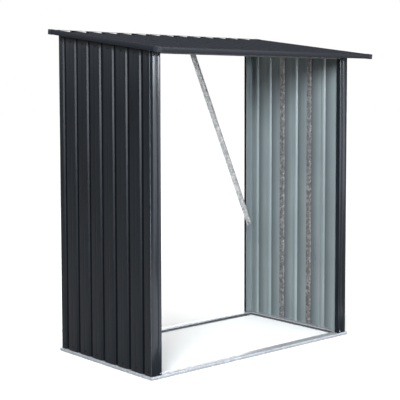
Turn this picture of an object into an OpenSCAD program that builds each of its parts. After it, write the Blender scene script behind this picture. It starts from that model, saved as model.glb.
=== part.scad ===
// Open metal log store: ribbed side walls and a pent roof that falls to the front,
// open at the front and at the back. The origin is on the ground, under the middle of the roof.
// +X runs along the front to the right, +Y runs to the high back, +Z is up.

/* [Base] */
// Width over the base rails
base_w = 1650; // [1200:10:2200]
// Depth over the base rails
base_d = 905; // [700:5:1200]
// Height of the base rails
rail_h = 18; // [12:1:30]
// Width of the base rails' flat top
rail_flat = 60; // [40:1:80]

/* [Heights] */
// Underside of the roof trim at the front edge
front_h = 1803; // [1400:1:2100]
// Rise of the roof from its front edge to its back edge
roof_rise = 141; // [60:1:240]

/* [Roof] */
// Overhang of the roof past the base at the front
front_overhang = 136; // [90:1:220]
// Overhang of the roof past the base at the back
back_overhang = 4; // [2:1:60]
// Overhang of the roof past the base at each side
side_overhang = 57; // [20:1:120]
// Height of the folded trim round the roof
trim_h = 28; // [24:1:45]
// Width of the trim's flanges
trim_flange = 26; // [15:1:28]
// Side of the square corner caps
cap_side = 30; // [30:1:45]
// Thickness of the corner caps
cap_t = 1.5; // [1:0.5:3]
// Distance from rib to rib, which the sheets' width adjusts
roof_pitch = 118; // [90:1:130]

/* [Walls] */
// Gap from the base's outer edge to the wall's outer face
wall_inset = 8; // [2:1:15]
// Distance from groove to groove
groove_pitch = 125; // [90:1:130]
// Distance of the middle groove behind the middle of the wall
groove_shift = 10; // [0:1:30]
// Distance from the middle groove to the seam in front of it
seam_offset = 28; // [22:1:40]

/* [Sheet] */
// Thickness of the coated sheet
sheet_t = 1; // [0.8:0.1:1.5]
// Clearance where one piece stops short of another
clearance = 0.3; // [0.1:0.1:0.6]
// Width of a rib or groove at its mouth
rib_mouth = 38; // [28:1:40]
// Width of a rib or groove at its crest
rib_crest = 16; // [8:1:22]
// Depth of a rib or groove
rib_depth = 9; // [6:1:11]

/* [Posts] */
// Width of a corner post's face
post_face = 74; // [55:1:90]
// Width of the sloping strip along the post's outer edge
post_bevel_w = 18; // [10:1:22]
// Depth of the sloping strip
post_bevel_d = 4; // [2:0.5:6]
// Distance from the post's outer edge to the middle of its groove
post_groove_at = 49; // [36:1:55]
// Width of the post's groove at its mouth
post_groove_w = 8; // [6:1:10]
// Depth of the post's groove
post_groove_d = 3; // [2:0.5:4]
// Depth of the flange that runs back beside the wall
post_wall_flange = 25; // [20:1:40]

/* [Frame] */
// Thickness of the galvanised steel
frame_t = 1.2; // [1:0.1:2]
// Depth of the channels and of the front posts' inner flange
channel_d = 30; // [22:1:36]
// Depth of the flanges round the open back
back_flange = 10; // [8:1:30]
// Height of the top rails at the front and back
top_rail_h = 36; // [30:1:60]
// Height of the side top rails and the purlins
purlin_h = 40; // [25:1:45]
// Width of a wall stud
stud_w = 42; // [41:1:60]
// Distance that a stud stands in from the wall
stud_d = 12; // [12:1:40]
// Width of a brace's face
brace_w = 35; // [25:1:45]
// Depth of a brace's leg
brace_leg = 14; // [8:1:20]
// Distance of a brace's top end from the middle of the store
brace_top_x = 204; // [120:1:300]
// Height of a brace's low end
brace_low_z = 647; // [400:1:900]

/* [Hidden] */

coated = "#2d3136";
zinc = "#a9acaf";
trim_grey = "#34373b";
cap_grey = "#26292c";

// the roof in plan, and its slope
roof_w = base_w + 2 * side_overhang;
roof_d = front_overhang + base_d + back_overhang;
slope = atan(roof_rise / roof_d);
roof_len = roof_d / cos(slope);
roof_y = -(roof_d - trim_h * sin(slope)) / 2;

// the base and the walls in plan
base_front = roof_y + front_overhang;
base_back = base_front + base_d;
wall_x = base_w / 2 - wall_inset;
wall_front = base_front + wall_inset;
wall_back = base_back - wall_inset;
wall_mid = (wall_front + wall_back) / 2;
groove_mid = wall_mid + groove_shift;
seam_y = groove_mid - seam_offset;

// heights measured square to the roof, from the underside of its trim
sheet_seat = trim_h - frame_t - rib_depth - sheet_t;
purlin_seat = sheet_seat - purlin_h;

// lines inside the walls
flat_x = wall_x - sheet_t;
ridge_x = flat_x - rib_depth;
side_rail_x = ridge_x - channel_d;
post_x = wall_x - post_face;
front_reach = channel_d + frame_t;
back_reach = back_flange + frame_t;

// how many ribs and grooves there is room for
roof_sheets = 3;
sheet_w = (roof_w - 2 * frame_t) / roof_sheets;
roof_ribs = round(sheet_w / roof_pitch);
rib_pitch = sheet_w / roof_ribs;
groove_reach = wall_back - groove_mid - post_wall_flange - rib_mouth / 2;
groove_pairs = floor(groove_reach / groove_pitch);
post_face_in = post_bevel_d + frame_t + clearance;

// the trim's lower flange stops short of the wall under the back edge
back_lip = min(trim_flange, (back_overhang + wall_inset) / cos(slope) - clearance);

// taller than any wall, for what the roof cuts off
tall = front_h + roof_rise;

// A sheet folded along a line of points, with its thickness to the left of the line.
function unit(v) = v / norm(v);
function left_of(a, b) = let (d = unit(b - a)) [-d[1], d[0]];
function mitre(p, i, t) =
    let (
        n1 = left_of(p[max(i - 1, 0)], p[max(i, 1)]),
        n2 = left_of(p[min(i, len(p) - 2)], p[min(i + 1, len(p) - 1)])
    )
    p[i] + t * (n1 + n2) / (1 + n1 * n2);
function folded(p, t) = concat(p, [for (i = [len(p) - 1:-1:0]) mitre(p, i, t)]);

// The line of a ribbed sheet from a to b, with a rib at each place in the list at.
function ribbed(a, b, at) = concat(
    [[a, 0]],
    [for (c = at, side = [-1, 1], end = [0, 1])
        let (crest = (side < 0) == (end == 1))
        [c + side * (crest ? rib_crest : rib_mouth) / 2, crest ? rib_depth : 0]],
    [[b, 0]]
);

// Height of a plane square_up above the trim's underside, at the distance y.
function roof_z(y, square_up) = front_h + (y - roof_y) * tan(slope) + square_up / cos(slope);

// How far up the slope a point lies that is square_up above the trim's underside, at y.
function up_slope(y, square_up) = (y - roof_y + square_up * sin(slope)) / cos(slope);

module on_roof() {
    translate([0, roof_y, front_h]) rotate([slope, 0, 0]) children();
}

// Everything below a plane that lies square_up above the trim's underside.
module below_roof(square_up) {
    intersection() {
        children();
        on_roof() translate([-roof_w, -tall, square_up - 2 * tall]) cube([2 * roof_w, 3 * tall, 2 * tall]);
    }
}

// A section drawn in Y and Z, run along X from a to b.
module along_x(a, b) {
    translate([a, 0, 0]) rotate([90, 0, 90]) linear_extrude(b - a) children();
}

// A section drawn in X and Z, run along Y from a to b.
module along_y(a, b) {
    translate([0, b, 0]) rotate([90, 0, 0]) linear_extrude(b - a) children();
}

// Copies of a left piece: as it is, or on the right.
module on_side(right) {
    mirror([right ? 1 : 0, 0, 0]) children();
}

// A front piece, or its copy at the back.
module at_end(back) {
    if (back) translate([0, 2 * wall_mid, 0]) mirror([0, 1, 0]) children();
    else children();
}

// A channel on its side, open to the middle of the store.
module rail_section() {
    polygon(folded([[rail_flat, 0], [0, 0], [0, rail_h], [rail_flat, rail_h]], -frame_t));
}

module base_rail_long(back) {
    color(zinc) at_end(back) along_x(-base_w / 2, base_w / 2)
        translate([base_front, 0]) rail_section();
}

module base_rail_side(right) {
    color(zinc) on_side(right) along_y(base_front + rail_flat, base_back - rail_flat)
        translate([-base_w / 2, 0]) rail_section();
}

// The post's face carries a shallow groove and slopes back along its outer edge.
// One flange runs back inside the wall sheet, and one beside the opening.
module corner_post(right, back) {
    half = post_groove_w / 2;
    bed = half - post_groove_d / 2;
    reach = back ? back_reach : front_reach;
    face = [
        [sheet_t, post_wall_flange], [sheet_t, post_bevel_d], [post_bevel_w, 0],
        [post_groove_at - half, 0], [post_groove_at - bed, post_groove_d],
        [post_groove_at + bed, post_groove_d], [post_groove_at + half, 0],
        [post_face, 0], [post_face, reach],
    ];
    color(coated) below_roof(sheet_seat) on_side(right) at_end(back)
        translate([-wall_x, wall_front, rail_h]) linear_extrude(tall)
        polygon(folded(face, frame_t));
}

function grooves(back) = [
    for (k = [-groove_pairs:groove_pairs])
        if ((k < 0) != back) groove_mid + k * groove_pitch
];

module wall_sheet(right, back) {
    a = back ? seam_y : wall_front + post_bevel_d;
    b = back ? wall_back - post_bevel_d : seam_y;
    line = ribbed(a, b, grooves(back));
    skin = folded([for (p = line) [p[1] - wall_x, p[0]]], -sheet_t);
    color(coated) below_roof(sheet_seat) on_side(right)
        translate([0, 0, rail_h]) linear_extrude(tall) polygon(skin);
}

module wall_stud(right, back) {
    y = groove_mid + (back ? 1 : -1) * groove_pitch;
    half = stud_w / 2;
    section = [[0, half], [stud_d, half], [stud_d, -half], [0, -half]];
    color(zinc) below_roof(purlin_seat) on_side(right)
        translate([-flat_x, y, rail_h]) linear_extrude(tall)
        polygon(folded(section, -frame_t));
}

module side_top_rail(right) {
    section = [[channel_d, 0], [0, 0], [0, purlin_h], [channel_d, purlin_h]];
    a = up_slope(wall_front + post_face_in, sheet_seat);
    b = up_slope(wall_back - post_face_in, purlin_seat);
    color(zinc) on_side(right) on_roof() along_y(a, b)
        translate([-ridge_x, purlin_seat]) polygon(folded(section, -frame_t));
}

// The top rails' upper flange lies on the slope.
module top_rail(back) {
    web = back ? wall_back : wall_front;
    tip = back ? wall_back - back_reach : wall_front + channel_d;
    low = roof_z(web, sheet_seat) - top_rail_h;
    section = [
        [tip, low], [web, low], [web, roof_z(web, sheet_seat)], [tip, roof_z(tip, sheet_seat)],
    ];
    color(zinc) along_x(-post_x, post_x) polygon(folded(section, back ? frame_t : -frame_t));
}

module roof_purlin(back) {
    u = up_slope(groove_mid + (back ? 1 : -1) * groove_pitch, sheet_seat) - channel_d / 2;
    section = [[channel_d, 0], [0, 0], [0, purlin_h], [channel_d, purlin_h]];
    color(zinc) on_roof() along_x(-side_rail_x, side_rail_x)
        translate([u, purlin_seat]) polygon(folded(section, -frame_t));
}

// A brace runs from the back top rail down to the back post, flat on their inner flanges.
module rear_brace(right) {
    low = [wall_x - post_face / 2, brace_low_z];
    top = [brace_top_x, roof_z(wall_back, sheet_seat) - top_rail_h / 2];
    run = top - low;
    lean = atan2(run[0], run[1]);
    section = [[-brace_w / 2, 0], [brace_w / 2, 0], [brace_w / 2, -brace_leg]];
    color(zinc) on_side(!right) translate([low[0], wall_back - back_reach, low[1]])
        rotate([0, lean, 0]) linear_extrude(norm(run))
        polygon(folded(section, -frame_t));
}

module roof_sheet(place) {
    a = -roof_w / 2 + frame_t + place * sheet_w;
    line = ribbed(a, a + sheet_w, [for (i = [0:roof_ribs - 1]) a + (i + 0.5) * rib_pitch]);
    color(coated) on_roof() along_y(frame_t, roof_len - frame_t)
        translate([0, sheet_seat]) polygon(folded(line, sheet_t));
}

// The section of the trim, open to the middle of the roof, with its own lower flange.
module trim_section(lip) {
    polygon(folded([[lip, 0], [0, 0], [0, trim_h], [trim_flange, trim_h]], -frame_t));
}

module roof_trim_end(back) {
    half = roof_w / 2 - cap_side;
    color(trim_grey) on_roof()
        translate([0, back ? roof_len : 0, 0]) mirror([0, back ? 1 : 0, 0])
        along_x(-half, half) trim_section(back ? back_lip : trim_flange);
}

module roof_trim_side(right) {
    color(trim_grey) on_side(right) on_roof() along_y(cap_side, roof_len - cap_side)
        translate([-roof_w / 2, 0]) trim_section(trim_flange);
}

// A shallow box that covers the trims' ends, open to the middle of the roof.
module trim_cap(right, back) {
    out = cap_side + cap_t;
    color(cap_grey) on_side(right) on_roof()
        translate([0, back ? roof_len : 0, 0]) mirror([0, back ? 1 : 0, 0])
        translate([-roof_w / 2 - cap_t, -cap_t, -cap_t])
        difference() {
            cube([out, out, trim_h + 2 * cap_t]);
            translate([cap_t, cap_t, cap_t]) cube([out, out, trim_h]);
        }
}

base_rail_long(false);  // base_rail_front
base_rail_long(true);  // base_rail_back
base_rail_side(false);  // base_rail_left
base_rail_side(true);  // base_rail_right
corner_post(false, false);  // corner_post_front_left
corner_post(true, false);  // corner_post_front_right
corner_post(false, true);  // corner_post_back_left
corner_post(true, true);  // corner_post_back_right
wall_sheet(false, false);  // wall_sheet_left_front
wall_sheet(false, true);  // wall_sheet_left_back
wall_sheet(true, false);  // wall_sheet_right_front
wall_sheet(true, true);  // wall_sheet_right_back
wall_stud(false, false);  // wall_stud_left_front
wall_stud(false, true);  // wall_stud_left_back
wall_stud(true, false);  // wall_stud_right_front
wall_stud(true, true);  // wall_stud_right_back
side_top_rail(false);  // side_top_rail_left
side_top_rail(true);  // side_top_rail_right
top_rail(false);  // top_rail_front
top_rail(true);  // top_rail_back
roof_purlin(false);  // roof_purlin_front
roof_purlin(true);  // roof_purlin_back
rear_brace(false);  // rear_brace_left
rear_brace(true);  // rear_brace_right
roof_sheet(0);  // roof_sheet_left
roof_sheet(1);  // roof_sheet_middle
roof_sheet(2);  // roof_sheet_right
roof_trim_end(false);  // roof_trim_front
roof_trim_end(true);  // roof_trim_back
roof_trim_side(false);  // roof_trim_left
roof_trim_side(true);  // roof_trim_right
trim_cap(false, false);  // trim_cap_front_left
trim_cap(true, false);  // trim_cap_front_right
trim_cap(false, true);  // trim_cap_back_left
trim_cap(true, true);  // trim_cap_back_right
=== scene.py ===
import math

import bmesh
import bpy
from mathutils import Matrix, Vector, noise


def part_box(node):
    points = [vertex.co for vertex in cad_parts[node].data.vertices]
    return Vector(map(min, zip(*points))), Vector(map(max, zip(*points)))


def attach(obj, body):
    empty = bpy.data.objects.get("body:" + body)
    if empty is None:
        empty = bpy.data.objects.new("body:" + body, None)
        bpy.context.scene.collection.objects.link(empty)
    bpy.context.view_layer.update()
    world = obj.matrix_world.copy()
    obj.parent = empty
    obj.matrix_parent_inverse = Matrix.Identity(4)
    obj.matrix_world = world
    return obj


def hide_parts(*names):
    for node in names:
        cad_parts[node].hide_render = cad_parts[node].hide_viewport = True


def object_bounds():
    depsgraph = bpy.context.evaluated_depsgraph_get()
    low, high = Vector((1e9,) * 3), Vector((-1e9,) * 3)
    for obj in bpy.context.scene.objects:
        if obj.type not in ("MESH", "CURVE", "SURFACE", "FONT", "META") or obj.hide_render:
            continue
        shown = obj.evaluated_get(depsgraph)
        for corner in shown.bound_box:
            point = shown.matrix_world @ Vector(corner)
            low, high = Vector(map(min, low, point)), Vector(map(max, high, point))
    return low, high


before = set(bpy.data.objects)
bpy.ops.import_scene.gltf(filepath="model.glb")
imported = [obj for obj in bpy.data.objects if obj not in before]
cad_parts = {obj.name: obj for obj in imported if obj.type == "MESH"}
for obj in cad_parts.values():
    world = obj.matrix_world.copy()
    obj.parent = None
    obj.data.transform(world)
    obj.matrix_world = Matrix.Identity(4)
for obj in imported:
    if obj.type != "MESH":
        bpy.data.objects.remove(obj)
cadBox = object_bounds()
scene = bpy.context.scene
scene.view_settings.view_transform = "Standard"
print("frame loaded")

mm = 0.001
weld = 1e-6             # points closer than this are one
roofGap = 0.5 * mm      # walls and posts stop this far below the roof sheets
skinGap = 0.1 * mm      # between flat faces that would otherwise coincide
sheetStep = 45 * mm     # cross cuts along the thin sheets
stripStep = 60 * mm     # and along the stiffer pieces
sides = {"Left": -1, "Right": 1}
ends = {"Front": -1, "Back": 1}

# where the frame stands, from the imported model
railLow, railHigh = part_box("base_rail_front")
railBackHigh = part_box("base_rail_back")[1]
postLow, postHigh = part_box("corner_post_front_left")
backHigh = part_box("corner_post_back_left")[1]
studFront = sum(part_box("wall_stud_left_front"), Vector()) / 2
studBack = sum(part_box("wall_stud_left_back"), Vector()) / 2
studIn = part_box("wall_stud_left_front")[1].x
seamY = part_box("wall_sheet_left_back")[0].y
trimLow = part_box("roof_trim_front")[0]
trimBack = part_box("roof_trim_back")[1]
railInX = -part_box("side_top_rail_left")[1].x

railTop = railHigh.z
wallX = -postLow.x                      # outer skin of the side walls
wallFront, wallBack = postLow.y, backHigh.y
postFace = postHigh.x - postLow.x
postX = wallX - postFace
groovePitch = (studBack.y - studFront.y) / 2
grooveMid = (studBack.y + studFront.y) / 2
slope = math.atan2(backHigh.z - postHigh.z, backHigh.y - postHigh.y)
squareUp = Vector((0, -math.sin(slope), math.cos(slope)))

sheet = {
    "thickness": 1.0 * mm,
    "ribMouth": 38 * mm,
    "ribCrest": 16 * mm,
    "ribDepth": 9 * mm,
    "creaseWidth": 9 * mm,      # the shallow stiffening crease along each flat
    "creaseDepth": 0.7 * mm,
    "bend": 2.2 * mm,
    "ripple": 0.35 * mm,        # how far a flat wanders from true
    "rippleSize": 170 * mm,
    "creaseClear": 20 * mm,     # no crease closer than this to a sheet's edge
    "wallLap": 14 * mm,         # how far the front sheet laps over the back one
    "roofLap": 26 * mm,
    "joggle": 5 * mm,           # the step down to a lapped strip
    "lapGap": 1 * mm,
}

trim = {
    "height": 28 * mm,
    "flange": 26 * mm,
    "hem": 3 * mm,
    "thickness": 1.2 * mm,
    "bend": 1.6 * mm,
    "ripple": 0.25 * mm,
    "rippleSize": 220 * mm,
    "fluteLow": 0.4 * mm,       # how far an open flute stays clear of the sheet
    "fluteHigh": 1.5 * mm,      # and of the trim's upper bend
    "capSide": 30 * mm,
    "capThickness": 1.5 * mm,
}

roofY = trimLow.y + trim["height"] * math.sin(slope)
roofFront = Vector((0, roofY, trimLow.z))
roofLength = (trimBack.y - roofY) / math.cos(slope)
roofHalf = -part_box("roof_trim_left")[0].x
sheetSeat = trim["height"] - trim["thickness"] - sheet["ribDepth"] - sheet["thickness"]
roofFrame = Matrix.Translation(roofFront) @ Matrix.Rotation(slope, 4, "X")
eavesHeight = squareUp.dot(roofFront)       # the trim's underside, measured square to the roof
underRoof = roofFront + squareUp * (sheetSeat - roofGap)
tall = cadBox[1].z
xAxis, yAxis, zAxis = Vector((1, 0, 0)), Vector((0, 1, 0)), Vector((0, 0, 1))


def vertsOf(geom):
    return [g for g in geom if isinstance(g, bmesh.types.BMVert)]


def facesOf(geom):
    return [g for g in geom if isinstance(g, bmesh.types.BMFace)]


def everything(bm):
    return bm.verts[:] + bm.edges[:] + bm.faces[:]


sharpestFlat = 0.08     # radians; a turn below this isn't a fold


# a folded line swept along a vector, its bends rounded, its faces turned towards out
def sweepLine(line, along, bend, out):
    bm = bmesh.new()
    verts = [bm.verts.new(p) for p in line]
    edges = [bm.edges.new(pair) for pair in zip(verts, verts[1:])]
    swept = bmesh.ops.extrude_edge_only(bm, edges=edges)["geom"]
    bmesh.ops.translate(bm, verts=vertsOf(swept), vec=along)
    bmesh.ops.recalc_face_normals(bm, faces=bm.faces[:])
    bm.normal_update()
    bm.faces.ensure_lookup_table()
    widest = max(bm.faces, key=lambda f: abs(f.normal.dot(out)) * f.calc_area())
    if widest.normal.dot(out) < 0:
        bmesh.ops.reverse_faces(bm, faces=bm.faces[:])
    folds = [e for e in bm.edges if e.is_manifold and e.calc_face_angle() > sharpestFlat]
    if bend and folds:
        bmesh.ops.bevel(bm, geom=folds, offset=bend, offset_type="OFFSET", segments=3,
                        profile=0.5, affect="EDGES", material=-1, clamp_overlap=True)
    return bm


# cross cuts, so that a long sheet has something to bend with
def crossCut(bm, start, along, step):
    count = max(1, round(along.length / step))
    for i in range(1, count):
        bmesh.ops.bisect_plane(bm, geom=everything(bm), dist=weld,
                               plane_co=start + along * (i / count), plane_no=along)


def cutAway(bm, point, normal):
    bmesh.ops.bisect_plane(bm, geom=everything(bm), dist=weld,
                           plane_co=point, plane_no=normal, clear_outer=True)


def rippleSheet(bm, height, size, seed):
    bm.normal_update()
    moves = [(v, v.normal * height * noise.noise(v.co / size + Vector((seed, 3 * seed, 0))))
             for v in bm.verts]
    for v, move in moves:
        v.co += move


def clampInside(bm, low, high):
    for v in bm.verts:
        v.co = Vector([min(max(c, a), b) for c, a, b in zip(v.co, low, high)])


# gives an open sheet its thickness; material 0 outside, 1 inside, 2 on the cut edges
def thicken(bm, thickness):
    outer = set(bm.faces)
    inner = set(facesOf(bmesh.ops.solidify(bm, geom=bm.faces[:], thickness=thickness)["geom"]))
    for f in bm.faces:
        f.material_index = 0 if f in outer else 1 if f in inner else 2


# gives the beds of the grooves their own finish, the darker coat of painted shade
def markShadedBeds(bm, isBed, index):
    for f in bm.faces:
        if f.material_index == 0 and all(isBed(v.co) for v in f.verts):
            f.material_index = index


def finishPiece(name, bm, materials, slot, *nodes, sharp=38):
    bmesh.ops.remove_doubles(bm, verts=bm.verts[:], dist=weld)
    bmesh.ops.recalc_face_normals(bm, faces=bm.faces[:])
    mesh = bpy.data.meshes.new(name)
    bm.to_mesh(mesh)
    bm.free()
    for m in materials:
        mesh.materials.append(m)
    mesh.polygons.foreach_set("use_smooth", [True] * len(mesh.polygons))
    mesh.set_sharp_from_angle(angle=math.radians(sharp))
    piece = bpy.data.objects.new(name, mesh)
    scene.collection.objects.link(piece)
    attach(piece, "root")
    if nodes:
        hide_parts(*nodes)


# an sRGB hex colour as linear RGBA
def hexToLinear(code):
    parts = [int(code[i:i + 2], 16) / 255 for i in (1, 3, 5)]
    return [p / 12.92 if p <= 0.04045 else ((p + 0.055) / 1.055) ** 2.4 for p in parts] + [1]


def addNode(tree, kind, settings=None, links=None):
    node = tree.nodes.new(kind)
    for key, value in (settings or {}).items():
        if isinstance(key, str) and key not in node.inputs:
            setattr(node, key, value)
        else:
            node.inputs[key].default_value = value
    for key, source in (links or {}).items():
        tree.links.new(source, node.inputs[key])
    return node


def startMaterial(name, shader):
    material = bpy.data.materials.new(name)
    material.use_nodes = True
    tree = material.node_tree
    tree.nodes.clear()
    body = addNode(tree, "ShaderNodeBsdfPrincipled", shader)
    addNode(tree, "ShaderNodeOutputMaterial", links={"Surface": body.outputs["BSDF"]})
    coords = addNode(tree, "ShaderNodeTexCoord").outputs["Object"]
    return material, tree, body, coords


def twoTones(tree, factor, look, start=0.3, stop=0.7):
    ramp = addNode(tree, "ShaderNodeValToRGB", links={"Fac": factor})
    ramp.color_ramp.elements[0].position = start
    ramp.color_ramp.elements[1].position = stop
    ramp.color_ramp.elements[0].color = hexToLinear(look["dark"])
    ramp.color_ramp.elements[1].color = hexToLinear(look["light"])
    return ramp.outputs["Color"]


# Polyester coil coating on rolled steel: satin, even and dark, with a faint orange peel
# that softens what it mirrors, and long streaks from the rolls.
def coilCoating(name, look):
    material, tree, body, coords = startMaterial(name, {
        "Specular IOR Level": look["gloss"], "IOR": 1.5,
    })
    clouds = addNode(tree, "ShaderNodeTexNoise", {"Scale": 1 / 0.35, "Detail": 3}, {"Vector": coords})
    stretch = addNode(tree, "ShaderNodeMapping", {"Scale": look["streaks"]}, {"Vector": coords})
    streaks = addNode(tree, "ShaderNodeTexNoise", {"Scale": 1, "Detail": 2},
                      {"Vector": stretch.outputs["Vector"]})
    both = addNode(tree, "ShaderNodeMix", {"data_type": "FLOAT", "Factor": 0.45},
                   {"A": clouds.outputs["Fac"], "B": streaks.outputs["Fac"]})
    tone = twoTones(tree, both.outputs["Result"], look)
    if "bands" in look:     # a soft darker band beside each rib
        where = addNode(tree, "ShaderNodeSeparateXYZ", links={"Vector": coords})
        ahead = addNode(tree, "ShaderNodeMath", {"operation": "SUBTRACT", 0: grooveMid},
                        {1: where.outputs["Y"]})
        past = addNode(tree, "ShaderNodeMath", {"operation": "FLOORED_MODULO", 1: groovePitch},
                       {0: ahead.outputs["Value"]})
        rise = addNode(tree, "ShaderNodeMapRange", {
            "From Min": 0.42 * sheet["ribMouth"], "From Max": 0.55 * sheet["ribMouth"],
            "To Max": look["bands"],
        }, {"Value": past.outputs["Value"]})
        fall = addNode(tree, "ShaderNodeMapRange", {
            "From Min": 0.6 * sheet["ribMouth"], "From Max": 0.75 * groovePitch,
            "To Min": 1, "To Max": 0,
        }, {"Value": past.outputs["Value"]})
        amount = addNode(tree, "ShaderNodeMath", {"operation": "MULTIPLY"},
                         {0: rise.outputs["Result"], 1: fall.outputs["Result"]})
        tone = addNode(tree, "ShaderNodeMix", {"data_type": "RGBA", 7: hexToLinear(look["bandTone"])},
                       {0: amount.outputs["Value"], 6: tone}).outputs[2]
    tree.links.new(tone, body.inputs["Base Color"])
    rough = addNode(tree, "ShaderNodeMapRange", {
        "From Min": 0.3, "From Max": 0.7,
        "To Min": look["roughness"] - 0.04, "To Max": look["roughness"] + 0.05,
    }, {"Value": both.outputs["Result"]})
    if "eavesShadow" in look:     # painted shadow: the strip under the roof's edge is drawn almost black and matt, for the shade under it
        depth = addNode(tree, "ShaderNodeVectorMath", {"operation": "DOT_PRODUCT", 1: squareUp},
                        {0: coords})
        eavesShade = addNode(tree, "ShaderNodeMapRange", {
            "From Min": eavesHeight - look["eavesShadow"], "From Max": eavesHeight, "To Min": 0, "To Max": 1,
        }, {"Value": depth.outputs["Value"]})
        # the near-black colour of the painted shadow under the roof's edge
        eavesShadedTone = addNode(tree, "ShaderNodeMix", {"data_type": "RGBA", 7: hexToLinear("#020303")},
                        {0: eavesShade.outputs["Result"], 6: tone})
        rough = addNode(tree, "ShaderNodeMix", {"data_type": "FLOAT", "B": 0.95},
                        {"Factor": eavesShade.outputs["Result"], "A": rough.outputs["Result"]})
        tree.links.new(eavesShadedTone.outputs[2], body.inputs["Base Color"])
    tree.links.new(rough.outputs["Result"], body.inputs["Roughness"])
    # real orange peel is about 1 mm across; drawn at 4 mm so that it shows
    peel = addNode(tree, "ShaderNodeTexNoise", {"Scale": 1 / 0.004, "Detail": 1}, {"Vector": coords})
    bump = addNode(tree, "ShaderNodeBump", {"Strength": look["peel"], "Distance": 0.0004},
                   {"Height": peel.outputs["Fac"]})
    tree.links.new(bump.outputs["Normal"], body.inputs["Normal"])
    return material


# Hot-dip galvanised strip: dull zinc whose crystals, the spangle, each mirror a little
# differently, with warmer blotches where the zinc has begun to weather.
def hotDipZinc(name, look):
    material, tree, body, coords = startMaterial(name, {"Metallic": look["metallic"]})
    warp = addNode(tree, "ShaderNodeTexNoise", {"Scale": 1 / 0.02, "Detail": 2}, {"Vector": coords})
    bent = addNode(tree, "ShaderNodeVectorMath", {"operation": "MULTIPLY_ADD", 1: (0.008,) * 3},
                   {0: warp.outputs["Color"], 2: coords})
    # spangle is 5 to 15 mm across
    spangle = addNode(tree, "ShaderNodeTexVoronoi", {"Scale": 1 / look["spangle"]},
                      {"Vector": bent.outputs["Vector"]})
    grey = addNode(tree, "ShaderNodeSeparateColor", links={"Color": spangle.outputs["Color"]})
    crystals = twoTones(tree, grey.outputs["Red"], look, 0, 1)
    blotch = addNode(tree, "ShaderNodeTexNoise", {"Scale": 1 / 0.03, "Detail": 3}, {"Vector": coords})
    amount = addNode(tree, "ShaderNodeMapRange", {
        "From Min": 0.42, "From Max": 0.66, "To Min": 0, "To Max": look["weathering"],
    }, {"Value": blotch.outputs["Fac"]})
    worn = addNode(tree, "ShaderNodeMix", {"data_type": "RGBA", 7: hexToLinear(look["blotch"])},
                   {"Factor": amount.outputs["Result"], 6: crystals})
    tree.links.new(worn.outputs[2], body.inputs["Base Color"])
    rough = addNode(tree, "ShaderNodeMapRange", {
        "To Min": look["roughness"] - 0.1, "To Max": look["roughness"] + 0.1,
    }, {"Value": grey.outputs["Green"]})
    tree.links.new(rough.outputs["Result"], body.inputs["Roughness"])
    bump = addNode(tree, "ShaderNodeBump", {"Strength": 0.25, "Distance": 0.0003},
                   {"Height": spangle.outputs["Distance"]})
    tree.links.new(bump.outputs["Normal"], body.inputs["Normal"])
    return material


# Injection-moulded polypropylene: matt, with the fine spark-eroded grain of its mould.
def mouldedPlastic(name, look):
    material, tree, body, coords = startMaterial(name, {"IOR": 1.49, "Specular IOR Level": 0.2})
    clouds = addNode(tree, "ShaderNodeTexNoise", {"Scale": 1 / 0.05, "Detail": 3}, {"Vector": coords})
    tree.links.new(twoTones(tree, clouds.outputs["Fac"], look), body.inputs["Base Color"])
    rough = addNode(tree, "ShaderNodeMapRange", {
        "To Min": look["roughness"] - 0.06, "To Max": look["roughness"] + 0.06,
    }, {"Value": clouds.outputs["Fac"]})
    tree.links.new(rough.outputs["Result"], body.inputs["Roughness"])
    # the real grain is well under 1 mm; drawn at 1.2 mm so that it shows
    grain = addNode(tree, "ShaderNodeTexNoise", {"Scale": 1 / 0.0012, "Detail": 2}, {"Vector": coords})
    bump = addNode(tree, "ShaderNodeBump", {"Strength": 0.3, "Distance": 0.0002},
                   {"Height": grain.outputs["Fac"]})
    tree.links.new(bump.outputs["Normal"], body.inputs["Normal"])
    return material


# the wall skin: almost black, with a soft and even sheen, and a painted shadow along its top 45 mm
# under the roof's edge
coatOutside = coilCoating("AnthraciteCoilCoating", {
    "dark": "#0a0d11", "light": "#101419", "gloss": 0.28, "roughness": 0.3, "eavesShadow": 45 * mm,
    "streaks": (30, 30, 1.2), "peel": 0.12,
})
# painted shade: the same coat in the groove beds, drawn darker and duller for the shade in the grooves
coatGrooveShade = coilCoating("AnthraciteGroovePaintedShade", {
    "dark": "#06080b", "light": "#0b0e12", "gloss": 0.05, "roughness": 0.45,
    "streaks": (30, 30, 1.2), "peel": 0.12,
})
# the posts: the same coat on a smoother sheet, with a painted shadow along its top 8 mm under the
# roof's edge
coatPost = coilCoating("AnthracitePostCoating", {
    "dark": "#0d1116", "light": "#13181f", "gloss": 0.24, "roughness": 0.2, "eavesShadow": 8 * mm,
    "streaks": (30, 30, 1.2), "peel": 0.12,
})
# the roof: the same colour, chalked by the weather, so that it mirrors little
coatRoof = coilCoating("AnthraciteRoofCoating", {
    "dark": "#0a0e15", "light": "#10151e", "gloss": 0.1, "roughness": 0.55,
    "streaks": (30, 1.2, 30), "peel": 0.12,
})
# the trims: a shade lighter, with a broad dull sheen
coatTrim = coilCoating("AnthraciteTrimCoating", {
    "dark": "#0e1116", "light": "#14171d", "gloss": 0.13, "roughness": 0.4,
    "streaks": (4, 4, 30), "peel": 0.15,
})
# the blue-grey backing coat on the inner side of roof, posts and trims
coatInside = coilCoating("GreyBackingCoat", {
    "dark": "#6c7576", "light": "#808988", "gloss": 0.5, "roughness": 0.3,
    "streaks": (30, 30, 1.2), "peel": 0.12,
})
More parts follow.
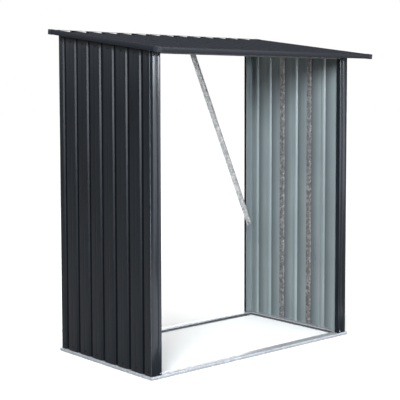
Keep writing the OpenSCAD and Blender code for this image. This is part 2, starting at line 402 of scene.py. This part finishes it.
# the same backing coat on the walls, whose folds run up and down
coatWallInside = coilCoating("GreyWallBackingCoat", {
    "dark": "#757e7f", "light": "#8c9594", "gloss": 0.5, "roughness": 0.3,
    "streaks": (30, 30, 1.2), "peel": 0.12, "bands": 0.8, "bandTone": "#414b4e",
})
# studs, side rails and purlins: mottled grey with brownish blotches
zinc = hotDipZinc("HotDipGalvanisedStrip", {
    "dark": "#6a6866", "light": "#a3a2a0", "blotch": "#5f5a57", "metallic": 0.5,
    "spangle": 0.012, "weathering": 0.7, "roughness": 0.45,
})
# the base rails: less weathered, and painted paler for the light on their open tops
zincRailLit = hotDipZinc("HotDipGalvanisedRailLit", {
    "dark": "#9fa2a5", "light": "#c4c7ca", "blotch": "#9a9794", "metallic": 0.55,
    "spangle": 0.01, "weathering": 0.4, "roughness": 0.42,
})
# bare cut steel with zinc drawn over it: a thin grey line along each edge
cutEdge = hotDipZinc("SheetCutEdge", {
    "dark": "#6f7275", "light": "#8b8e91", "blotch": "#6c6762", "metallic": 0.8,
    "spangle": 0.004, "weathering": 0.4, "roughness": 0.5,
})
# bright heads that catch the light
screwZinc = hotDipZinc("ZincPlatedScrewSteel", {
    "dark": "#b9bcc0", "light": "#e2e4e8", "blotch": "#a8a9a8", "metallic": 0.95,
    "spangle": 0.004, "weathering": 0.2, "roughness": 0.28,
})
# black caps that mirror nothing sharply
capPlastic = mouldedPlastic("MouldedCapPolypropylene", {
    "dark": "#1b1d20", "light": "#23262a", "roughness": 0.5,
})
# a dull black ring under each head
washerRubber = mouldedPlastic("RubberSealingWasher", {
    "dark": "#0e0f10", "light": "#17181a", "roughness": 0.75,
})
# the top rails under the roof's edges: painted shade, a darker and browner copy of the strip for their
# place in the roof's shadow
zincShaded = hotDipZinc("ShadedGalvanisedStrip", {
    "dark": "#4d4a48", "light": "#6a6765", "blotch": "#4b4643", "metallic": 0.3,
    "spangle": 0.012, "weathering": 0.8, "roughness": 0.7,
})
# the braces: painted light, a pale copy of the strip for the light that falls on them
zincBraceLit = hotDipZinc("LitGalvanisedStrip", {
    "dark": "#a9a8a5", "light": "#dcdad7", "blotch": "#8f8d89", "metallic": 0.25,
    "spangle": 0.012, "weathering": 0.5, "roughness": 0.5,
})
postCoated = [coatPost, coatInside, cutEdge]
roofCoated = [coatRoof, coatInside, cutEdge]
trimCoated = [coatTrim, coatInside, cutEdge]
wallCoated = [coatOutside, coatWallInside, cutEdge, coatGrooveShade]
zincSheet = [zinc, zinc, cutEdge]
shadedSheet = [zincShaded, zincShaded, cutEdge]
litBraceSheet = [zincBraceLit, zincBraceLit, cutEdge]
litRailSheet = [zincRailLit, zincRailLit, cutEdge]
print("materials made")

# screws: a hex head on a pressed flange, with a rubber washer under it
screw = {
    "headAcross": 8 * mm,
    "headHeight": 4.2 * mm,
    "flangeAcross": 11 * mm,
    "flangeHeight": 1.0 * mm,
    "edge": 0.5 * mm,
    "washerAcross": 14 * mm,
    "washerHeight": 1.6 * mm,
}


# head and flange take the piece's first material, the washer the one given
def addScrew(bm, place, out, size, turn=0.0, washer=1):
    facing = Vector(out).to_track_quat("Z", "Y").to_matrix().to_4x4()
    seat = Matrix.Translation(place) @ facing @ Matrix.Rotation(turn, 4, "Z") @ Matrix.Scale(size, 4)

    def ring(low, high, bottom, top, segments, material, rounding=0.0):
        middle = seat @ Matrix.Translation((0, 0, (top + bottom) / 2))
        made = bmesh.ops.create_cone(bm, cap_ends=True, segments=segments, radius1=low / 2,
                                     radius2=high / 2, depth=top - bottom, matrix=middle)["verts"]
        faces = {f for v in made for f in v.link_faces}
        for f in faces:
            f.material_index = material
        if rounding:
            peak = seat @ Vector((0, 0, top))
            rim = [e for e in {e for v in made for e in v.link_edges}
                   if all((w.co - peak).dot(Vector(out)) > -1e-5 for w in e.verts)]
            bmesh.ops.bevel(bm, geom=rim, offset=rounding, segments=2, profile=0.5,
                            affect="EDGES", material=-1)

    base = screw["washerHeight"]
    seatTop = base + screw["flangeHeight"]
    ring(screw["washerAcross"], screw["washerAcross"] * 0.94, 0, base, 16, washer)
    ring(screw["flangeAcross"], screw["flangeAcross"] * 0.8, base, seatTop, 16, 0)
    ring(screw["headAcross"] * 1.12, screw["headAcross"] * 1.08, seatTop,
         seatTop + screw["headHeight"], 6, 0, screw["edge"])


# base rails: a channel on its side, open to the middle, mitred at the corners
rail = {
    "flat": 60 * mm,
    "lip": 5 * mm,
    "thickness": 1.2 * mm,
    "bend": 2.0 * mm,
    "cornerGap": 0.5 * mm,
    "ripple": 0.15 * mm,
    "rippleSize": 120 * mm,
}


def baseRail(name, node, corner, along, inward):
    # corner is the outer bottom corner, along the outer edge, inward points to the middle
    line = [corner + inward * a + Vector((0, 0, b)) for a, b in (
        (rail["flat"], rail["lip"]), (rail["flat"], 0), (0, 0),
        (0, railTop), (rail["flat"], railTop), (rail["flat"], railTop - rail["lip"]))]
    bm = sweepLine(line, along, rail["bend"], -inward)
    crossCut(bm, corner, along, stripStep)
    run = along.normalized()
    gap = run * rail["cornerGap"]
    cutAway(bm, corner + gap, -run + inward)
    cutAway(bm, corner + along - gap, run + inward)
    rippleSheet(bm, rail["ripple"], rail["rippleSize"], 7)
    for v in bm.verts:      # flat on the ground
        v.co.z = max(v.co.z, 0)
    thicken(bm, rail["thickness"])
    finishPiece(name, bm, litRailSheet, "galvanised", node)


baseHalf = railHigh.x
baseFront, baseBack = railLow.y, railBackHigh.y
for end, t in ends.items():
    baseRail("baseRail" + end, "base_rail_" + end.lower(),
             Vector((-baseHalf, baseFront if t < 0 else baseBack, 0)), xAxis * 2 * baseHalf, -t * yAxis)
for side, s in sides.items():
    baseRail("baseRail" + side, "base_rail_" + side.lower(), Vector((s * baseHalf, baseFront, 0)),
             yAxis * (baseBack - baseFront), -s * xAxis)
print("base rails made")


# side walls: ribbed sheets whose grooves run up and down. The outer line of a ribbed sheet
# goes from a to b, with a rib at each place in ribs and a crease at each place in creases.
def ribbedLine(a, b, ribs, creases):
    points = [(a, 0)]
    half = sheet["creaseWidth"] / 2
    stations = sorted([(c, "rib") for c in ribs] + [(c, "crease") for c in creases])
    for c, kind in stations:
        if kind == "rib":
            points += [(c - sheet["ribMouth"] / 2, 0), (c - sheet["ribCrest"] / 2, sheet["ribDepth"]),
                       (c + sheet["ribCrest"] / 2, sheet["ribDepth"]), (c + sheet["ribMouth"] / 2, 0)]
        else:
            points += [(c - half, 0), (c, sheet["creaseDepth"]), (c + half, 0)]
    return points + [(b, 0)]


postBevel = {"width": 18 * mm, "depth": 4 * mm}
wallStart, wallStop = wallFront + postBevel["depth"], wallBack - postBevel["depth"]
grooveCount = int((wallStop - grooveMid) / groovePitch)
grooves = [grooveMid + k * groovePitch for k in range(-grooveCount, grooveCount + 1)]


def wallSheet(side, s, end):
    back = end == "Back"
    a, b = (seamY - sheet["wallLap"], wallStop) if back else (wallStart, seamY)
    clear = sheet["creaseClear"]
    ribs = [c for c in grooves if (c > seamY) == back]
    creases = [g + groovePitch / 2 for g in grooves[:-1]
               if a + clear < g + groovePitch / 2 < b - clear]
    points = ribbedLine(a, b, ribs, creases)
    if back:    # the lapped strip lies one thickness further in
        lowered = sheet["thickness"] * 1.05
        step = seamY + sheet["lapGap"]
        points = [(a, lowered), (step, lowered), (step + sheet["joggle"], 0)] + points[1:]
    line = [Vector((s * (wallX - d), p, railTop)) for p, d in points]
    up = zAxis * (tall - railTop)
    bm = sweepLine(line, up, sheet["bend"], s * xAxis)
    crossCut(bm, line[0], up, sheetStep)
    cutAway(bm, underRoof, squareUp)
    rippleSheet(bm, sheet["ripple"], sheet["rippleSize"], 11 * s + (5 if back else 0))
    for v in bm.verts:      # the skin never stands out past the wall's face
        v.co.x = s * min(s * v.co.x, wallX)
    thicken(bm, sheet["thickness"])
    # the groove beds take the darker coat: painted shade
    markShadedBeds(bm, lambda c: abs(c.x) < wallX - 0.8 * sheet["ribDepth"], 3)
    finishPiece("wallSheet" + side + end, bm, wallCoated, "coated_sheet",
                "wall_sheet_" + side.lower() + "_" + end.lower())


for side, s in sides.items():
    for end in ends:
        wallSheet(side, s, end)
print("wall sheets made")

# corner posts: folded round the wall's edge, with a groove down the face
post = {
    "wallFlange": 25 * mm,
    "innerFlange": {"Front": 31.2 * mm, "Back": 11.2 * mm},
    "hem": 8 * mm,
    "grooveAt": 49 * mm,
    "grooveWidth": 8 * mm,
    "grooveDepth": 3 * mm,
    "thickness": 1.2 * mm,
    "bend": 1.5 * mm,
    "ripple": 0.2 * mm,
    "rippleSize": 200 * mm,
}


def cornerPost(side, s, end, t):
    half = post["grooveWidth"] / 2
    bed = half - post["grooveDepth"] / 2
    g = post["grooveAt"]
    flange = post["innerFlange"][end]
    section = [
        (sheet["thickness"], post["wallFlange"]), (sheet["thickness"], postBevel["depth"]),
        (postBevel["width"], 0), (g - half, 0), (g - bed, post["grooveDepth"]),
        (g + bed, post["grooveDepth"]), (g + half, 0), (postFace, 0),
        (postFace, flange), (postFace - post["hem"], flange),
    ]
    edge = wallFront if end == "Front" else wallBack
    line = [Vector((s * (wallX - a), edge - t * b, railTop)) for a, b in section]
    up = zAxis * (tall - railTop)
    bm = sweepLine(line, up, post["bend"], t * yAxis)
    crossCut(bm, line[0], up, stripStep)
    cutAway(bm, underRoof, squareUp)
    rippleSheet(bm, post["ripple"], post["rippleSize"], 23 * s + 4 * t)
    clampInside(bm, (-wallX, wallFront, 0), (wallX, wallBack, tall))
    thicken(bm, post["thickness"])
    finishPiece("cornerPost" + end + side, bm, postCoated, "coated_sheet",
                "corner_post_" + end.lower() + "_" + side.lower())


for side, s in sides.items():
    for end, t in ends.items():
        cornerPost(side, s, end, t)
print("corner posts made")

# the galvanised frame inside: hat-section studs, channels under the roof, braces
strip = {
    "thickness": 1.2 * mm,
    "bend": 1.8 * mm,
    "studFoot": 42 * mm,
    "studFace": 34 * mm,
    "railDepth": 30 * mm,
    "railHeight": 40 * mm,
    "topRailDepth": {"Front": 30 * mm, "Back": 11.2 * mm},
    "topRailHeight": 36 * mm,
    "lip": 6 * mm,
    "seat": 1 * mm,             # how far studs and rails stand clear of the wall sheet
    "endGap": 6 * mm,           # and the side rails of the posts
    "ripple": 0.15 * mm,
    "rippleSize": 150 * mm,
}
flatX = wallX - sheet["thickness"]
purlinSeat = sheetSeat - strip["railHeight"]


def stripPiece(name, node, line, along, out, cuts=(), seed=0, transform=None, finish=zincSheet):
    bm = sweepLine(line, along, strip["bend"], out)
    crossCut(bm, line[0], along, stripStep)
    for point, normal in cuts:
        cutAway(bm, point, normal)
    rippleSheet(bm, strip["ripple"], strip["rippleSize"], seed)
    thicken(bm, strip["thickness"])
    if transform:
        bmesh.ops.transform(bm, matrix=transform, verts=bm.verts[:])
    finishPiece(name, bm, finish, "galvanised", node)


# the height above ground of a plane that lies height above the trim's underside
def roofZ(y, height):
    return roofFront.z + (y - roofY) * math.tan(slope) + height / math.cos(slope)


# how far up the slope a point of that plane lies
def roofRun(y, height):
    return (y - roofY + height * math.sin(slope)) / math.cos(slope)


for side, s in sides.items():
    for end, t in ends.items():
        y = grooveMid + t * groovePitch
        foot, face = strip["studFoot"] / 2, strip["studFace"] / 2
        footX = flatX - strip["seat"]
        line = [Vector((s * x, y + b, railTop)) for x, b in (
            (footX, foot), (-studIn, face), (-studIn, -face), (footX, -foot))]
        stripPiece("wallStud" + side + end, "wall_stud_" + side.lower() + "_" + end.lower(), line,
                   zAxis * (tall - railTop), -s * xAxis,
                   [(roofFront + squareUp * purlinSeat, squareUp)], seed=31 + s + 2 * t)
    webX = railInX + strip["railDepth"] - strip["seat"]
    start = roofRun(wallFront + strip["endGap"], sheetSeat)
    stop = roofRun(wallBack - strip["endGap"], purlinSeat)
    line = [Vector((s * x, start, z)) for x, z in (
        (railInX, purlinSeat + strip["lip"]), (railInX, purlinSeat), (webX, purlinSeat),
        (webX, sheetSeat), (railInX, sheetSeat), (railInX, sheetSeat - strip["lip"]))]
    stripPiece("sideTopRail" + side, "side_top_rail_" + side.lower(), line,
               yAxis * (stop - start), s * xAxis, seed=41 + s, transform=roofFrame)

for end, t in ends.items():
    web = wallFront if end == "Front" else wallBack
    tip = web - t * strip["topRailDepth"][end]
    low = roofZ(web, sheetSeat) - strip["topRailHeight"]
    line = [Vector((-postX, y, z)) for y, z in (
        (tip, low + strip["lip"]), (tip, low), (web, low), (web, roofZ(web, sheetSeat - skinGap)),
        (tip, roofZ(tip, sheetSeat - skinGap)))]
    stripPiece("topRail" + end, "top_rail_" + end.lower(), line, xAxis * 2 * postX, t * yAxis,
               # the top rails take the darker copy of the strip: painted shade
               seed=51 + t, finish=shadedSheet)
    y = grooveMid + t * groovePitch
    u = roofRun(y, sheetSeat) - strip["railDepth"] / 2
    deep = strip["railDepth"]
    line = [Vector((-railInX, u + a, b)) for a, b in (
        (deep, purlinSeat + strip["lip"]), (deep, purlinSeat), (0, purlinSeat),
        (0, sheetSeat), (deep, sheetSeat), (deep, sheetSeat - strip["lip"]))]
    stripPiece("roofPurlin" + end, "roof_purlin_" + end.lower(), line, xAxis * 2 * railInX, -yAxis,
               seed=61 + t, transform=roofFrame)

brace = {
    "width": 35 * mm,
    "leg": 14 * mm,
    "topX": 204 * mm,
    "lowZ": 647 * mm,
    "screwIn": 16 * mm,         # from each end to its screw
}
braceY = wallBack - post["innerFlange"]["Back"]
braceEnds = {}
for side, s in sides.items():
    foot = Vector((s * (wallX - postFace / 2), braceY, brace["lowZ"]))
    head = Vector((s * brace["topX"], braceY, roofZ(wallBack, sheetSeat) - strip["topRailHeight"] / 2))
    run = head - foot
    across = run.cross(yAxis).normalized() * -s        # towards the outside of the store
    line = [foot + across * a + yAxis * b - yAxis * skinGap for a, b in (
        (-brace["width"] / 2, 0), (brace["width"] / 2, 0), (brace["width"] / 2, -brace["leg"]))]
    screwIn = run.normalized() * brace["screwIn"]
    braceEnds[side] = (foot + screwIn, head - screwIn)
    stripPiece("rearBrace" + side, "rear_brace_" + side.lower(), line, run, yAxis, seed=71 + s,
               finish=litBraceSheet)
print("frame made")

# roof: three ribbed sheets with folded trims and corner caps
sheetLow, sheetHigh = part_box("roof_sheet_left")
sheetWidth = sheetHigh.x - sheetLow.x
ribsPerSheet = 5
ribPitch = sheetWidth / ribsPerSheet
top = sheetSeat + sheet["thickness"]
for place, name in enumerate(("Left", "Middle", "Right")):
    a = sheetLow.x + place * sheetWidth
    b = a + sheetWidth
    ribs = [a + (i + 0.5) * ribPitch for i in range(ribsPerSheet)]
    creases = [a + i * ribPitch for i in range(1, ribsPerSheet)]
    points = ribbedLine(a, b, ribs, creases)
    if place < 2:       # laps under the next sheet
        lowered = -sheet["thickness"]
        points = points[:-1] + [(b - sheet["joggle"], 0), (b - sheet["lapGap"], lowered),
                                (b + sheet["roofLap"], lowered)]
    line = [Vector((x, trim["thickness"], top + d)) for x, d in points]
    along = yAxis * (roofLength - 2 * trim["thickness"])
    bm = sweepLine(line, along, sheet["bend"], zAxis)
    crossCut(bm, line[0], along, sheetStep)
    rippleSheet(bm, sheet["ripple"], sheet["rippleSize"], 81 + place)
    thicken(bm, sheet["thickness"])
    bmesh.ops.transform(bm, matrix=roofFrame, verts=bm.verts[:])
    finishPiece("roofSheet" + name, bm, roofCoated, "coated_sheet", "roof_sheet_" + name.lower())


# under the back trim's flange the flutes between the ribs stay open
def openFlutes(bm, low, high):
    edges = [x + d for x in ribXs for d in (-sheet["ribMouth"] / 2, sheet["ribMouth"] / 2)]
    cuts = [(zAxis * low, zAxis), (zAxis * high, zAxis)] + [(xAxis * x, xAxis) for x in edges]
    for point, normal in cuts:
        bmesh.ops.bisect_plane(bm, geom=everything(bm), dist=weld, plane_co=point, plane_no=normal)
    gone = []
    for f in bm.faces:
        c = f.calc_center_median()
        if (c.y > roofLength - skinGap and low < c.z < high
                and min(abs(c.x - x) for x in ribXs) > sheet["ribMouth"] / 2):
            gone.append(f)
    bmesh.ops.delete(bm, geom=gone, context="FACES")


ribXs = [sheetLow.x + (i + 0.5) * ribPitch for i in range(3 * ribsPerSheet)]
backLip = min(trim["flange"], trimBack.y - wallBack)
half = roofHalf - trim["capSide"]
for end, t in ends.items():
    lip = trim["flange"] if end == "Front" else backLip
    edge = 0 if end == "Front" else roofLength
    line = [Vector((-half, edge - t * a, b)) for a, b in (
        (lip, trim["hem"]), (lip, 0), (0, 0), (0, trim["height"]), (trim["flange"], trim["height"]))]
    run = xAxis * 2 * half
    bm = sweepLine(line, run, trim["bend"], t * yAxis)
    if end == "Back":
        openFlutes(bm, top + trim["fluteLow"], trim["height"] - trim["bend"] - trim["fluteHigh"])
    crossCut(bm, line[0], run, stripStep)
    rippleSheet(bm, trim["ripple"], trim["rippleSize"], 91 + t)
    clampInside(bm, (-half, 0, 0), (half, roofLength, trim["height"]))
    thicken(bm, trim["thickness"])
    bmesh.ops.transform(bm, matrix=roofFrame, verts=bm.verts[:])
    finishPiece("roofTrim" + end, bm, trimCoated, "coated_trim", "roof_trim_" + end.lower())

for side, s in sides.items():
    run = yAxis * (roofLength - 2 * trim["capSide"])
    lip = trim["flange"]
    line = [Vector((s * (roofHalf - a), trim["capSide"], b)) for a, b in (
        (lip, trim["hem"]), (lip, 0), (0, 0), (0, trim["height"]), (lip, trim["height"]))]
    bm = sweepLine(line, run, trim["bend"], s * xAxis)
    crossCut(bm, line[0], run, stripStep)
    rippleSheet(bm, trim["ripple"], trim["rippleSize"], 95 + s)
    clampInside(bm, (-roofHalf, 0, 0), (roofHalf, roofLength, trim["height"]))
    thicken(bm, trim["thickness"])
    bmesh.ops.transform(bm, matrix=roofFrame, verts=bm.verts[:])
    finishPiece("roofTrim" + side, bm, trimCoated, "coated_trim", "roof_trim_" + side.lower())

# caps: moulded shells over the trims' ends, open to the middle of the roof
cap = {"round": 2.5 * mm, "wall": 1.5 * mm}
capOut = trim["capSide"] + trim["capThickness"]
capHigh = trim["height"] + 2 * trim["capThickness"]
for side, s in sides.items():
    for end, t in ends.items():
        bm = bmesh.new()
        bmesh.ops.create_cube(bm, size=1)
        bmesh.ops.scale(bm, vec=(capOut, capOut, capHigh), verts=bm.verts[:])
        centre = Vector((s * (roofHalf + trim["capThickness"] - capOut / 2),
                         (roofLength if end == "Back" else 0) + t * (trim["capThickness"] - capOut / 2),
                         trim["height"] / 2))
        bmesh.ops.translate(bm, vec=centre, verts=bm.verts[:])
        inner = [f for f in bm.faces
                 if f.normal.dot(-s * xAxis) > 0.9 or f.normal.dot(-t * yAxis) > 0.9]
        bmesh.ops.delete(bm, geom=inner, context="FACES")
        rims = [e for e in bm.edges if e.is_manifold]
        bmesh.ops.bevel(bm, geom=rims, offset=cap["round"], segments=4, profile=0.5,
                        affect="EDGES", material=-1)
        thicken(bm, cap["wall"])
        for f in bm.faces:
            f.material_index = 0
        bmesh.ops.transform(bm, matrix=roofFrame, verts=bm.verts[:])
        finishPiece("trimCap" + end + side, bm, [capPlastic], "cap_plastic",
                    "trim_cap_" + end.lower() + "_" + side.lower())
print("roof made")

# the screws, row by row
fixing = {
    "wallLow": 26 * mm,         # above the base rail
    "wallMiddle": 950 * mm,
    "wallHigh": 30 * mm,        # below the middle of the side rail
    "wallFront": 26 * mm,       # from the wall sheets' front edge
    "wallBack": 20 * mm,
    "postHigh": 45 * mm,        # below the roof sheet
    "postLow": 12 * mm,
    "postRows": (28 * mm, 60 * mm),     # from the post's outer edge
    "roofEdge": 15 * mm,
    "sunk": 0.2 * mm,           # how far a washer is pressed into the roof's coat
    "wallSize": 0.8,
    "postSize": 0.75,
    "braceSize": 1.3,
    "roofSize": 0.55,
}
bm = bmesh.new()
flats = [g + groovePitch / 2 for g in grooves[:-1]]
flats = [wallStart + fixing["wallFront"]] + flats + [wallStop - fixing["wallBack"]]
for s in sides.values():
    for n, y in enumerate(flats):
        heights = [railTop + fixing["wallLow"],
                   roofZ(y, purlinSeat + strip["railHeight"] / 2) - fixing["wallHigh"]]
        if n in (0, len(flats) - 1):
            heights.insert(1, fixing["wallMiddle"])
        for z in heights:
            addScrew(bm, Vector((s * wallX, y, z)), (s, 0, 0), fixing["wallSize"], turn=n + z)
    for t in ends.values():
        edge = wallFront if t < 0 else wallBack
        z = roofZ(edge, sheetSeat) - fixing["postHigh"]
        for a in fixing["postRows"]:
            addScrew(bm, Vector((s * (wallX - a), edge, z)), (0, t, 0), fixing["wallSize"], turn=z)
finishPiece("wallScrews", bm, [coatOutside, washerRubber], "coated_sheet", sharp=30)

bm = bmesh.new()
for s in sides.values():
    for t in ends.values():
        edge = wallFront if t < 0 else wallBack
        place = Vector((s * (wallX - fixing["postRows"][1]), edge, railTop + fixing["postLow"]))
        addScrew(bm, place, (0, t, 0), fixing["postSize"])
for foot, head in braceEnds.values():
    for place in (foot, head):
        seat = place - yAxis * (strip["thickness"] + 2 * skinGap)
        addScrew(bm, seat, (0, -1, 0), fixing["braceSize"], washer=0)
finishPiece("frameScrews", bm, [screwZinc, washerRubber], "galvanised", sharp=30)

bm = bmesh.new()
crest = top + sheet["ribDepth"]
for y in (wallFront + fixing["roofEdge"], grooveMid - groovePitch,
          grooveMid + groovePitch, wallBack - fixing["roofEdge"]):
    for n in range(0, len(ribXs), 2):       # on every other rib
        place = roofFrame @ Vector((ribXs[n], roofRun(y, 0), crest))
        addScrew(bm, place - squareUp * fixing["sunk"], squareUp, fixing["roofSize"], turn=n)
finishPiece("roofScrews", bm, [coatRoof, washerRubber], "coated_sheet", sharp=30)
print("screws made")

# floor, light and camera
floorMesh = bpy.data.meshes.new("floor")
bm = bmesh.new()
bmesh.ops.create_grid(bm, x_segments=1, y_segments=1, size=60)
bm.to_mesh(floorMesh)
bm.free()
floor = bpy.data.objects.new("floor", floorMesh)
scene.collection.objects.link(floor)
floorPaint, tree, body, _ = startMaterial("PaleFloor", {"Roughness": 0.9, "Specular IOR Level": 0.1})
# greyer to every ray but the camera's, so that the dark coat doesn't mirror a white floor
rays = addNode(tree, "ShaderNodeLightPath")
bounced = addNode(tree, "ShaderNodeMix", {
    "data_type": "RGBA", 6: hexToLinear("#989896"), 7: hexToLinear("#5a5a59"),
}, {0: rays.outputs["Is Diffuse Ray"]})
paint = addNode(tree, "ShaderNodeMix", {"data_type": "RGBA", 7: hexToLinear("#f2f2f0")},
                {0: rays.outputs["Is Camera Ray"], 6: bounced.outputs[2]})
tree.links.new(paint.outputs[2], body.inputs["Base Color"])
floorMesh.materials.append(floorPaint)

lamps = {
    # place, aim, width and height in metres, how bright it looks, and the surfaces it serves
    "keyPanel": ((-5.3, -3.9, 2.85), (0.8, 0, 1.5), 2.4, 1.3, 82, "matt"),
    "leftPanel": ((-6.4, -2.7, 2.3), (-0.8, 0, 1.1), 3.4, 2.4, 13.5, "gloss"),
    "backLeftPanel": ((-5.2, 6.4, 4.0), (-0.8, 0, 1.2), 6.0, 3.2, 2.0, "gloss"),
    "frontPanel": ((-0.6, -7.5, 1.7), (0.5, 0.5, 1.3), 2.0, 1.2, 54, "matt"),
    "frontHighPanel": ((4.6, -7.6, 2.55), (-0.8, -0.4, 1.8), 2.4, 1.2, 56, "gloss"),
    "frontLowPanel": ((5.9, -7.1, 0.9), (0, -0.4, 1.2), 5.4, 1.8, 4.5, "gloss"),
    "rearPanel": ((4.5, 6.5, 1.3), (0, 0, 1), 4.0, 2.4, 6, "gloss"),
    "floorBoardNear": ((0.2, -2.4, 0.01), (0.2, -2.4, 5), 2.2, 3.2, 3.3, "gloss"),
    "floorBoardFar": ((2.9, -5.6, 0.01), (2.9, -5.6, 5), 3.4, 3.6, 3.3, "gloss"),
}
for name, (place, aim, width, height, glow, serves) in lamps.items():
    data = bpy.data.lights.new(name, "AREA")
    data.shape = "RECTANGLE"
    data.size, data.size_y = width, height
    data.energy = glow * math.pi * width * height
    data.color = hexToLinear("#eaf0f8")[:3]
    lamp = bpy.data.objects.new(name, data)
    lamp.location = place
    lamp.rotation_euler = (Vector(aim) - Vector(place)).to_track_quat("-Z", "Y").to_euler()
    lamp.visible_camera = False
    lamp.visible_diffuse = serves == "matt"
    lamp.visible_glossy = serves == "gloss"
    scene.collection.objects.link(lamp)

overhead = bpy.data.lights.new("overheadSoftbox", "SUN")
overhead.energy = 3.8
overhead.angle = math.radians(100)
scene.collection.objects.link(bpy.data.objects.new("overheadSoftbox", overhead))

world = bpy.data.worlds.new("studio")
scene.world = world
world.use_nodes = True
tree = world.node_tree
tree.nodes.clear()
lit = addNode(tree, "ShaderNodeBackground", {"Color": hexToLinear("#eef2f6"), "Strength": 0.08})
seen = addNode(tree, "ShaderNodeBackground", {"Color": (1, 1, 1, 1), "Strength": 1})
rays = addNode(tree, "ShaderNodeLightPath")
mixed = addNode(tree, "ShaderNodeMixShader", links={0: rays.outputs["Is Camera Ray"],
                                                    1: lit.outputs[0], 2: seen.outputs[0]})
addNode(tree, "ShaderNodeOutputWorld", links={"Surface": mixed.outputs[0]})

view = {
    "place": (-4.2509, -4.6960, 1.5833),
    "turn": 41.301,         # degrees from +Y towards +X
    "dip": 4.022,           # degrees below level
    "roll": 0.116,
    "lens": 91.25,
    "shiftY": -0.0875,
}
cameraData = bpy.data.cameras.new("camera")
cameraData.lens = view["lens"]
cameraData.sensor_width = 36
cameraData.shift_y = view["shiftY"]
cameraData.clip_end = 200
cameraData.dof.use_dof = False
camera = bpy.data.objects.new("camera", cameraData)
camera.location = view["place"]
camera.rotation_euler = [math.radians(a) for a in (90 - view["dip"], view["roll"], -view["turn"])]
scene.collection.objects.link(camera)
scene.camera = camera
print("stage, light and camera set")
